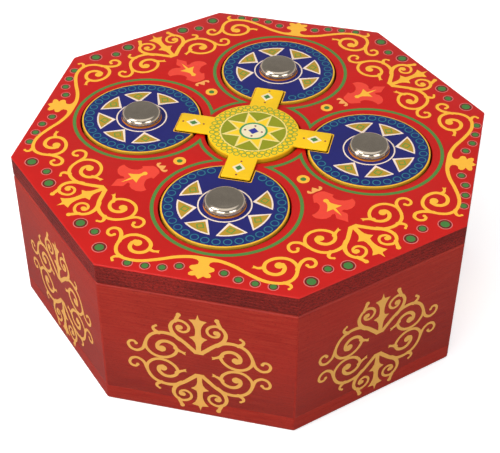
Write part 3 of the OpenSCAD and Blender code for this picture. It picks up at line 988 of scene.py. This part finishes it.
def side_scroll():
    """S-scrolls and crown for the lid edge beside a dial."""
    half = stroke([(0.0, 69.45), (2.6, 69.45), (5.2, 69.7), (7.9, 70.35), (10.5, 71.3),
                   (13.1, 72.6), (15.7, 73.75), (18.4, 74.8), (21.0, 75.45), (23.6, 75.55),
                   (26.3, 74.95), (28.3, 73.5), (29.35, 71.5), (29.6, 69.25), (29.1, 66.5),
                   (27.2, 64.25), (24.5, 63.5), (21.45, 64.3), (19.35, 66.25),
                   (18.8, 68.35), (19.6, 70.6), (21.6, 71.65), (23.8, 71.4), (25.2, 69.9),
                   (25.3, 67.9), (24.4, 66.6)], start=1.6, end=1.6, blob=0.8, swell=-0.25)
    half.append(circle(23.35, 67.2, 1.45, 26))
    half += stroke([(18.9, 69.2), (17.3, 69.95), (15.8, 69.75)], start=1.5, end=0.8)
    half.append([(16.5, 70.3), (15.2, 70.4), (15.6, 69.75), (15.3, 69.1), (16.5, 69.4)])
    half += stroke([(26.6, 74.7), (28.4, 75.1), (29.2, 76.1), (28.7, 77.1)],
                   start=1.5, end=0.8, blob=0.5)
    half += stroke([(29.35, 67.8), (29.5, 65.8), (30.1, 63.6), (31.4, 62.05), (33.3, 61.9),
                    (34.5, 63.3), (34.2, 65.0), (32.9, 65.7), (32.0, 65.0)],
                   start=1.6, end=1.0, blob=0.62)
    return both(half) + [
        mirrored([(0, 79.2), (0.75, 78.4), (1.25, 77.75), (2.5, 78.15), (3.5, 77.95),
                  (3.75, 77.2), (3.2, 76.3), (2.4, 75.75), (3.3, 75.4), (4.0, 74.8),
                  (4.1, 74.1), (3.6, 73.4), (2.4, 73.0), (1.75, 72.4), (1.85, 71.2),
                  (2.7, 70.5), (4.6, 70.2), (4.6, 69.0), (0.0, 68.7)])]


PRINT_X, PRINT_Y = 0.6, 0.4  # the lid's print sits a little off its centre
PRINT_SINK = 0.04  # how far prints reach into the board


def edge_copies(loops, angles, lift, holes=()):
    """A (u, v) print repeated at the edges whose outward normals have these angles."""
    verts, faces = slab(loops, LID_TOP - PRINT_SINK, LID_TOP + lift, holes)
    copies = []
    for angle in angles:
        turned = [rotate((v, u, z), angle) for u, v, z in verts]
        copies.append(([(x + PRINT_X, y + PRINT_Y, z) for x, y, z in turned],
                       [q[::-1] for q in faces]))
    return join(copies)


def lid_print(name, mesh, mat):
    make(name, mesh, mat, "lid")


PALMETTE = palmette()
lid_print("lid_palmettes", edge_copies(PALMETTE, DIAGONAL, lift=0.035), GOLD_TOP)
lid_print("lid_scrolls", edge_copies(side_scroll(), AXIAL, lift=0.035), GOLD_TOP)

# angles of the edges, dot radius, dot centres (u, v)
DOTS = [
    (DIAGONAL, 2.5, [(12.4, 75.5), (-12.4, 75.5), (26.5, 75.6), (-26.5, 75.6)]),
    (DIAGONAL, 1.95, [(18.75, 73.45), (-18.75, 73.45)]),
    (AXIAL, 1.8, [(s * u, v) for s in (1, -1)
                  for u, v in ((7.3, 74.8), (12.4, 76.7), (17.9, 77.2), (23.7, 77.2))]),
]


def dot_radii(r):
    """Outer and inner radii of a dot's ring, shade and solid middle."""
    return (r, r - 0.32), (r - 0.30, r * 0.60), (r * 0.61, None)


for layer, (name, mat) in enumerate((("lid_dot_rings", DOT_RING), ("lid_dot_shades", DOT_DARK),
                                     ("lid_dots", GREEN_DOT))):
    parts = []
    for angles, r, centres in DOTS:
        outer, inner = dot_radii(r)[layer]
        for u, v in centres:
            holes = [circle(u, v, inner, 28)] if inner else []
            parts.append(edge_copies([circle(u, v, outer, 28)], angles,
                                     0.03 + 0.004 * layer, holes))
    lid_print(name, join(parts), mat)

# green line round the dials and hub: (centre, radius of the line's middle)
LINE_HALF = 0.62
line_rings = [(c, 25.2) for c in dial_centres] + [((0, 0), 20.5)]
line_outer, line_inner = [[circle(x + PRINT_X, y + PRINT_Y, r + d, 120)
                           for (x, y), r in line_rings] for d in (LINE_HALF, -LINE_HALF)]
lid_print("lid_green_line", slab(line_outer, LID_TOP - PRINT_SINK, LID_TOP + 0.032, line_inner),
          GREEN_LINE)

# tulip, its heart, the small leaf and the ring dot on each diagonal
tulip = mirrored([(0.0, 58.1), (0.85, 56.6), (1.85, 55.2), (2.25, 54.4), (1.7, 53.2),
                  (1.3, 52.15), (2.4, 52.0), (3.4, 52.7), (5.1, 52.8), (6.8, 52.1),
                  (8.0, 50.8), (8.25, 49.8), (8.2, 48.7), (7.1, 48.7), (5.4, 48.2),
                  (4.1, 47.2), (3.2, 46.0), (3.1, 45.0), (3.2, 44.1), (4.1, 43.8),
                  (3.1, 41.9), (2.4, 40.5), (1.35, 40.0), (0.0, 39.9)])
heart = [circle(0, 45.0, 0.95, 22),
         mirrored([(0.0, 54.2), (0.3, 52.1), (0.5, 49.9), (3.05, 49.9), (1.7, 48.4),
                   (0.75, 46.9), (0.6, 45.4), (0.0, 45.2)])]
leaf = mirrored([(0, 39.2), (1.2, 39.35), (2.3, 39.2), (3.0, 38.5), (2.75, 37.5),
                 (2.1, 37.3), (1.95, 38.0), (1.3, 38.6), (0.9, 37.7), (0, 36.6)])
RING_DOT_V = 31.2
# name, loops, holes, ink, height over the lid
for name, loops, holes, mat, lift in (
        ("lid_tulips", [tulip], [], SALMON, 0.032),
        ("lid_tulip_hearts", heart, [], GOLD_TOP, 0.04),
        ("lid_small_leaves", [leaf], [], PEACH, 0.032),
        ("lid_ring_dots", [circle(0, RING_DOT_V, 2.25, 32)],
         [circle(0, RING_DOT_V, 1.0, 24)], GOLD_TOP, 0.032),
        ("lid_ring_dot_centres", [circle(0, RING_DOT_V, 1.02, 24)], [], GREEN_DOT, 0.036)):
    lid_print(name, edge_copies(loops, DIAGONAL, lift, holes), mat)

# ---------------------------------------------------------------- side ornament
# Two palmettes foot to foot on each wall.

SIDE_PRINT_Z = BODY_TOP - 29.6
SIDE_PRINT_SHIFT = 0.4  # sideways
FOOT_V = 55.3  # the palmette's v that falls on SIDE_PRINT_Z
verts, faces = slab(PALMETTE, -PRINT_SINK, 0.035)
parts = []
for k in range(8):
    for up in (1, -1):
        parts.append(([rotate((APOTHEM + depth, u + SIDE_PRINT_SHIFT,
                               SIDE_PRINT_Z + up * (v - FOOT_V)), -90 + 45 * k)
                       for u, v, depth in verts],
                      faces if up > 0 else [q[::-1] for q in faces]))
make("side_palmettes", join(parts), GOLD_SIDE, "box")

# ---------------------------------------------------------------- cross ornament


def star_points(tip, half):
    """The eight points of a star, each reaching tip and half wide each way at its root."""
    point = ((tip, 0), (4.6, half), (4.2, 0), (4.6, -half))
    return [[rotate(p, 45 * k + 22.5) for p in point] for k in range(8)]


beads = []
for r, phase, lift in ((13.35, 0.0, 0.03), (14.85, 0.5, 0.034)):
    for i in range(34):
        t = radians(360.0 * (i + phase) / 34)
        x, y = r * cos(t), r * sin(t)
        beads.append(slab([circle(x, y, 1.18, 18)], CROSS_TOP - PRINT_SINK, CROSS_TOP + lift,
                          [circle(x, y, 0.80, 18)]))
make("cross_beads", join(beads), BEAD_GREEN, "lid")

star_lines, star = star_points(11.75, 2.75), star_points(10.0, 1.95)
arm_diamonds = [[rotate(p, a) for p in rhombus(22.3, 2.7, 2.35)] for a in AXIAL]
arm_centres = [[rotate(p, a) for p in rhombus(22.3, 1.5, 1.3)] for a in AXIAL]
boss_dots = [circle(3.1 * cos(radians(a)), 3.1 * sin(radians(a)), 0.42, 14) for a in AXIAL]
arm_dots = [circle(*rotate((r, 0), a), 0.38, 12) for a in AXIAL for r in (18.5, 26.2)]
# name, loops, holes, ink, height over the cross
for name, loops, holes, mat, lift in (
        ("ring", [circle(0, 0, 12.2, 72)], [circle(0, 0, 11.7, 72)], CREAM_YELLOW, 0.04),
        ("ground", [circle(0, 0, 11.78, 72)], [circle(0, 0, 4.9, 48)], OLIVE, 0.02),
        ("star_lines", star_lines, star, CREAM_YELLOW, 0.045),
        ("star", star, [circle(0, 0, 4.6, 48)], STAR_YELLOW, 0.035),
        ("boss_ring", [circle(0, 0, 5.15, 48)], [circle(0, 0, 4.35, 48)], BOSS_GREEN, 0.05),
        ("boss", [circle(0, 0, 4.4, 48)], [], CREAM, 0.045),
        ("diamond", [rhombus(0, 1.9, 1.9)], [], MIDDLE_BLUE, 0.06),
        ("boss_dots", boss_dots, [], DOT_RED, 0.06),
        ("arm_diamonds", arm_diamonds, arm_centres, CREAM, 0.04),
        ("arm_centres", arm_centres, [], GREEN_DOT, 0.045),
        ("arm_dots", arm_dots, [], DOT_RED, 0.045)):
    mesh = slab(loops, CROSS_TOP - PRINT_SINK, CROSS_TOP + lift, holes)
    make("cross_" + name, mesh, mat, "lid")

# ---------------------------------------------------------------- spring


WIRE_R, COIL_R, TURNS = 0.8, 14.0, 6
STEPS, WIRE_SEG = TURNS * 40, 10
wire_low, wire_top = SPRING_LOW + WIRE_R, SPRING_TOP - WIRE_R
verts, faces, weights = [], [], []
for i in range(STEPS + 1):
    t = i / STEPS
    a = tau * TURNS * t
    for j in range(WIRE_SEG):
        b = tau * j / WIRE_SEG
        r = COIL_R + WIRE_R * cos(b)
        verts.append((r * cos(a), r * sin(a),
                      wire_low + (wire_top - wire_low) * t + WIRE_R * sin(b)))
        weights.append(t)  # one weight per ring
last = STEPS * WIRE_SEG
for a in range(0, last, WIRE_SEG):
    faces += bridge(a, a + WIRE_SEG, WIRE_SEG, flip=True)
faces += [list(range(WIRE_SEG)), list(range(last, last + WIRE_SEG))[::-1]]
ob = make("spring_wire", (verts, faces), STEEL, None, smooth=60)
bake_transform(ob)
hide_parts("spring")

# ---------------------------------------------------------------- gown
# A gathered sleeve of two-colour panels, closed over the spring cap up to the neck.

SLEEVE_ROWS, SHOULDER_ROWS, GOWN_SEG = 40, 8, 144
HEM_Z, SHOULDER_Z = GOWN_LOW + 0.2, CAP_TOP + 0.7
SLEEVE_H = SHOULDER_Z - HEM_Z
SLEEVE_R, NECK_R, CLOTH_T = 18.9, 7.2, 0.45

gown_rows = []  # (part of the sleeve's height, part of the shoulder, z, radius)
for i in range(SLEEVE_ROWS + 1):
    t = i / SLEEVE_ROWS
    gown_rows.append((t, 0.0, HEM_Z + SLEEVE_H * t,
                      SLEEVE_R + 0.75 * sin(2 * pi * 8 * t) * (1 - 0.3 * t)))
for i in range(1, SHOULDER_ROWS + 1):
    q = i / SHOULDER_ROWS
    gown_rows.append((1.0, q, SHOULDER_Z + 2.0 * sin(q * pi / 2) ** 0.8,
                      SLEEVE_R + (NECK_R - SLEEVE_R) * q ** 1.15))


def gown_point(t, top, z, r, a, inner):
    fold = 0.42 * sin(24 * a + 0.6 * sin(5 * t * pi)) * (1 - 0.55 * top)
    r = max(r + fold - (CLOTH_T if inner else 0.0), 6.7 if inner else 7.1)
    r = min(r, GOWN_R - 0.05)
    z += 0.10 * sin(24 * a) * top - (CLOTH_T * 0.8 * top if inner else 0.0)
    return (r * cos(a), r * sin(a), z)


def gown_grain(p):
    """Threads run round and up the sleeve."""
    r = hypot(p[0], p[1])
    return (atan2(p[1], p[0]) * 18.0, (p[2] - GOWN_LOW) * 6.0 + (19 - r), r)


verts = [gown_point(*row, tau * j / GOWN_SEG, inner)
         for inner in (False, True) for row in gown_rows for j in range(GOWN_SEG)]
ob = make("gown_sleeve", (verts, two_skins(len(gown_rows), GOWN_SEG)),
          [GOWN_BLUE, GOWN_YELLOW], None, smooth=80, grain=gown_grain)
two_colours(ob, width=45, start=0)
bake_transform(ob)
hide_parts("gown")

# ---------------------------------------------------------------- ruff

PLEATS, RUFF_ROWS, RUFF_IN_R = 22, 8, 5.9
RUFF_SEG = PLEATS * 10


def ruff_layer(z, r_out, height, phase):
    """A pleated ring whose waves reach height at the rim."""
    verts = []
    for thickness in (0.0, 0.16):
        for i in range(RUFF_ROWS + 1):
            q = i / RUFF_ROWS
            for j in range(RUFF_SEG):
                a = tau * j / RUFF_SEG
                wave = sin(PLEATS * a + phase * pi) * height * (0.25 + 0.75 * q)
                r = RUFF_IN_R + (r_out - RUFF_IN_R) * q + 0.25 * q * cos(PLEATS * a * 2)
                verts.append((r * cos(a), r * sin(a), z + wave - 0.25 * q - thickness))
    return verts, two_skins(RUFF_ROWS + 1, RUFF_SEG, flip=True)


make("ruff_pleats", join([ruff_layer(RUFF_LOW + 0.95, RUFF_R - 0.2, height=0.62, phase=0.0),
                          ruff_layer(RUFF_LOW + 1.45, RUFF_R - 2.2, height=0.50, phase=0.5)]),
     RUFF_CLOTH, "jack", "ruff", smooth=70)

# ---------------------------------------------------------------- head and face

NECK_DROP = 9.0  # the ball is cut flat this far under its centre
profile = [(0, HEAD_Z - NECK_DROP), (2.9, HEAD_Z - NECK_DROP)]
for i in range(40):
    t = radians(-71.5 + (90 + 71.5) * i / 40)
    profile.append((HEAD_R * cos(t), HEAD_Z + HEAD_R * sin(t)))
profile.append((0, HEAD_Z + HEAD_R))
make("head_ball", lathe(profile, 72), SKIN, "jack", "head", smooth=60)


def face_print(name, loops, mat, lift):
    """A print wrapped on the ball's -Y side: x towards +X and y up, in mm over its skin."""
    def on_head(p):
        turn, rise = p[0] / HEAD_R, p[1] / HEAD_R
        r = HEAD_R + p[2] + lift
        return (r * cos(rise) * sin(turn), -r * cos(rise) * cos(turn), HEAD_Z + r * sin(rise))
    make("face_" + name, slab(loops, -0.12, 0.03, place=on_head), mat, "jack")


def ellipse_pair(x, y, rx, ry, n=28):
    return [ellipse(s * x, y, rx, ry, n) for s in (-1, 1)]


def stroke_pair(points, start, end):
    return [loop for s in (-1, 1)
            for loop in stroke([(s * x, y) for x, y in points], start, end)]


face_print("cheeks", ellipse_pair(4.9, -2.6, 1.6, 1.35), CHEEK_INK, lift=0.02)
face_print("eye_whites", ellipse_pair(3.0, 1.2, 1.25, 1.0), EYE_WHITE, lift=0.02)
face_print("irises", ellipse_pair(3.0, 1.15, 0.72, 0.74), EYE_BLUE, lift=0.05)
face_print("pupils", ellipse_pair(3.0, 1.15, 0.36, 0.38, 18), FACE_INK, lift=0.08)
lids = stroke_pair([(4.4, 1.5), (3.0, 2.4), (1.7, 1.6)], start=0.25, end=0.25)
brows = stroke_pair([(4.6, 3.3), (3.2, 3.9), (1.9, 3.5)], start=0.4, end=0.3)
face_print("lids_brows", lids + brows, FACE_INK, lift=0.09)
mouth = stroke([(-2.5, -3.9), (-1.3, -4.6), (0, -4.8), (1.3, -4.6), (2.5, -3.9)],
               start=0.35, end=0.35, blob=0.2, swell=0.35)
face_print("mouth", mouth, LIP_INK, lift=0.03)

make("nose_ball", lathe(ball_profile(NOSE_CENTRE[2], NOSE_R), 40, NOSE_CENTRE[:2]),
     NOSE_RED, "jack", "nose", smooth=60)

# ---------------------------------------------------------------- hat
# A felt cap with a rolled brim and three drooping points, merged into one skin.

POINT_ANGLES = (90, 210, 330)
FELT_IN_R, FELT_OUT_R = HEAD_R + 0.12, HEAD_R + 1.25
# middle line of a point: (distance from the axis, height over the head's centre)
POINT_LINE = [(4.4, 8.2), (7.2, 9.3), (9.7, 9.0), (11.8, 7.6), (13.4, 5.6), (14.6, 3.2),
              (15.1, 1.4)]
POINT_ROOT_R, POINT_TIP_R = 2.9, 0.75


def tube(path, radii, seg=20):
    """Closed tube along a path that lies in a plane through the axis."""
    verts, faces = [], []
    path = [Vector(p) for p in path]
    for i, p in enumerate(path):
        along = (path[min(i + 1, len(path) - 1)] - path[max(i - 1, 0)]).normalized()
        side = along.cross(Vector((-p.y, p.x, 0)).normalized()).normalized()
        up = side.cross(along)
        for j in range(seg):
            a = tau * j / seg
            verts.append(tuple(p + (side * cos(a) + up * sin(a)) * radii[i]))
    last = (len(path) - 1) * seg
    for a in range(0, last, seg):
        faces += bridge(a, a + seg, seg)
    faces += [list(range(seg))[::-1], list(range(last, last + seg))]
    return verts, faces


def cap_arc(r, steps):
    return [(r * cos(radians(t)), HEAD_Z + r * sin(radians(t))) for t in steps]


def raw_hat():
    """Cap and points as overlapping closed solids."""
    profile = [(0, HEAD_Z + FELT_IN_R)] + cap_arc(FELT_IN_R, range(86, 13, -6))
    profile += cap_arc(FELT_OUT_R, range(14, 90, 6)) + [(0, HEAD_Z + FELT_OUT_R)]
    line = spline(POINT_LINE, 5)
    radii = [POINT_ROOT_R + (POINT_TIP_R - POINT_ROOT_R) * (i / (len(line) - 1)) ** 0.85
             for i in range(len(line))]
    points = [tube([rotate((x, 0, HEAD_Z + z), a) for x, z in line], radii)
              for a in POINT_ANGLES]
    return join([lathe(profile, 60)] + points)


def merged(mesh):
    """The solids remeshed into one smoothed skin."""
    raw = bpy.data.objects.new("hat_raw", mesh_data("hat_raw", mesh))
    bpy.context.scene.collection.objects.link(raw)
    remesh = raw.modifiers.new("remesh", "REMESH")
    remesh.mode, remesh.voxel_size = "VOXEL", 0.42 * MM
    smooth = raw.modifiers.new("smooth", "SMOOTH")
    smooth.iterations, smooth.factor = 4, 0.5
    evaluated = raw.evaluated_get(bpy.context.evaluated_depsgraph_get())
    data = evaluated.to_mesh()
    verts = [tuple(c / MM for c in v.co) for v in data.vertices]
    faces = [list(p.vertices) for p in data.polygons]
    evaluated.to_mesh_clear()
    bpy.data.objects.remove(raw)
    return verts, faces


def settled(p):
    """Keeps the felt just off the ball and gives the sag a few soft creases."""
    x, y, z = p
    from_head = Vector((x, y, z - HEAD_Z))
    r = hypot(x, y)
    if from_head.length < FELT_IN_R:
        x, y, z = from_head.normalized() * FELT_IN_R
        return (x, y, z + HEAD_Z)
    if r > 7.0:
        z -= 0.14 * sin(3.1 * r) * min(1.0, (r - 7.0) / 3)
    return (x, y, z)


verts, faces = merged(raw_hat())
ob = make("hat_felt", ([settled(p) for p in verts], faces), [FELT_YELLOW, FELT_RED], "jack",
          "hat", smooth=80)
two_colours(ob, width=60, start=89.6)

BRIM_SEG, ROLL_SEG = 90, 10
BRIM_R, BRIM_Z = HEAD_R + 0.95, HEAD_Z + 2.9
verts, faces = [], []
for j in range(BRIM_SEG):
    a = tau * j / BRIM_SEG
    roll_r = 0.85 + 0.05 * sin(9 * a)
    verts += [(r * cos(a), r * sin(a), z) for r, z in circle(BRIM_R, BRIM_Z, roll_r, ROLL_SEG)]
    faces += bridge(j * ROLL_SEG, (j + 1) % BRIM_SEG * ROLL_SEG, ROLL_SEG, flip=True)
make("hat_brim", (verts, faces), FELT_RED, "jack", smooth=80)

# a brass bell with a raised seam at the tip of each point
bell_profile = ball_profile(HEAD_Z + 0.15, 1.8, seam=0.12)
make("hat_bells_v", join([lathe(bell_profile, 36, rotate((15.2, 0), a)) for a in POINT_ANGLES]),
     BRASS, "jack", "hat_bells", smooth=60)

# ---------------------------------------------------------------- pieces shown as loaded

for name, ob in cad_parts.items():
    if ob.hide_render:
        continue
    if name.endswith(("_shaft", "_latch", "_nut")) or name == "hinge_pins":
        mat = STEEL
    elif name.startswith("hinge") or name in ("cross_screw", "spring_seat_screws"):
        mat = BRASS
    elif name.startswith("wall"):
        mat = RED_SIDE
    else:
        mat = BEECH
    ob.data.materials.clear()
    ob.data.materials.append(mat)

# ---------------------------------------------------------------- floor and world

scene = bpy.context.scene
scene.view_settings.view_transform = "Standard"

# The floor looks near white to the camera but bounces less light onto the box.
m = material("floor")
seen = m.node("ShaderNodeLightPath").outputs["Is Camera Ray"]
floor_colour = m.mix(seen, (0.34, 0.34, 0.34, 1), (0.90, 0.90, 0.90, 1))
floor_mat = m.out(floor_colour, 0.85, Emission_Strength=m.math("MULTIPLY", seen, 0.45),
                  Emission_Color=(1, 1, 1, 1), Specular_IOR_Level=0.0)
data = bpy.data.meshes.new("floor")
data.from_pydata([(-4, -4, 0), (4, -4, 0), (4, 4, 0), (-4, 4, 0)], [], [[0, 1, 2, 3]])
floor = bpy.data.objects.new("floor", data)
floor.location.z = -0.0002
data.materials.append(floor_mat)
scene.collection.objects.link(floor)

# White to the camera; for light and reflections, bright above and below a dim band.
world = bpy.data.worlds.new("studio")
scene.world = world
m = Shader(world)
background = m.tree.nodes["Background"]
background.inputs["Strength"].default_value = 1.0
axes = m.node("ShaderNodeSeparateXYZ")
m.feed(axes.inputs[0], m.node("ShaderNodeTexCoord").outputs["Generated"])
sky = m.ramp(axes.outputs[2], [(0.0, (0.95, 0.95, 0.95, 1))]
             + [(height, (c, c, c * 1.02, 1))
                for height, c in ((0.16, 0.75), (0.34, 0.30), (0.78, 0.26), (0.88, 1.05))]
             + [(1.0, (1.25, 1.25, 1.25, 1))])
seen = m.node("ShaderNodeLightPath").outputs["Is Camera Ray"]
m.feed(background.inputs["Color"], m.mix(seen, sky, (1, 1, 1, 1)))

# ---------------------------------------------------------------- lights and camera


def area_light(name, place, target, size, watts):
    """Rectangular light facing target. Lengths are in metres."""
    light = bpy.data.lights.new(name, "AREA")
    light.shape = "RECTANGLE"
    light.size, light.size_y = size
    light.energy = watts
    ob = bpy.data.objects.new(name, light)
    ob.location = place
    ob.rotation_euler = (Vector(target) - Vector(place)).to_track_quat("-Z", "Y").to_euler()
    scene.collection.objects.link(ob)


area_light("key", place=(-0.55, -0.35, 0.85), target=(0, 0, 0.04), size=(0.45, 0.45), watts=4.2)
area_light("fill", place=(0.75, -0.55, 0.45), target=(0, 0, 0.03), size=(0.5, 0.4), watts=2.4)
area_light("left", place=(-0.95, -0.60, 0.25), target=(-0.05, 0, 0.03), size=(0.3, 0.3),
           watts=3.4)
area_light("front", place=(-0.1, -0.9, 0.40), target=(0, 0, 0.03), size=(0.6, 0.35), watts=2.6)

# The camera looks at CAM_TARGET from CAM_DISTANCE away, turned towards +X from the front.
CAM_TURN, CAM_RISE, CAM_ROLL = radians(13.112), radians(40.339), radians(0.273)
CAM_DISTANCE = 399.3
CAM_TARGET = Vector((10.62, -50.40, LID_TOP))
back = Vector((sin(CAM_TURN) * cos(CAM_RISE), -cos(CAM_TURN) * cos(CAM_RISE), sin(CAM_RISE)))
right = Vector((cos(CAM_TURN), sin(CAM_TURN), 0.0))
up = back.cross(right)
right, up = (right * cos(CAM_ROLL) + up * sin(CAM_ROLL),
             up * cos(CAM_ROLL) - right * sin(CAM_ROLL))
camera_data = bpy.data.cameras.new("camera")
camera_data.sensor_width = 36.0
camera_data.lens = 87.6384
camera_data.clip_start, camera_data.clip_end = 0.01, 10
camera = bpy.data.objects.new("camera", camera_data)
pose = Matrix((right, up, back)).transposed().to_4x4()
pose.translation = (CAM_TARGET + back * CAM_DISTANCE) * MM
camera.matrix_world = pose
scene.collection.objects.link(camera)
scene.camera = camera
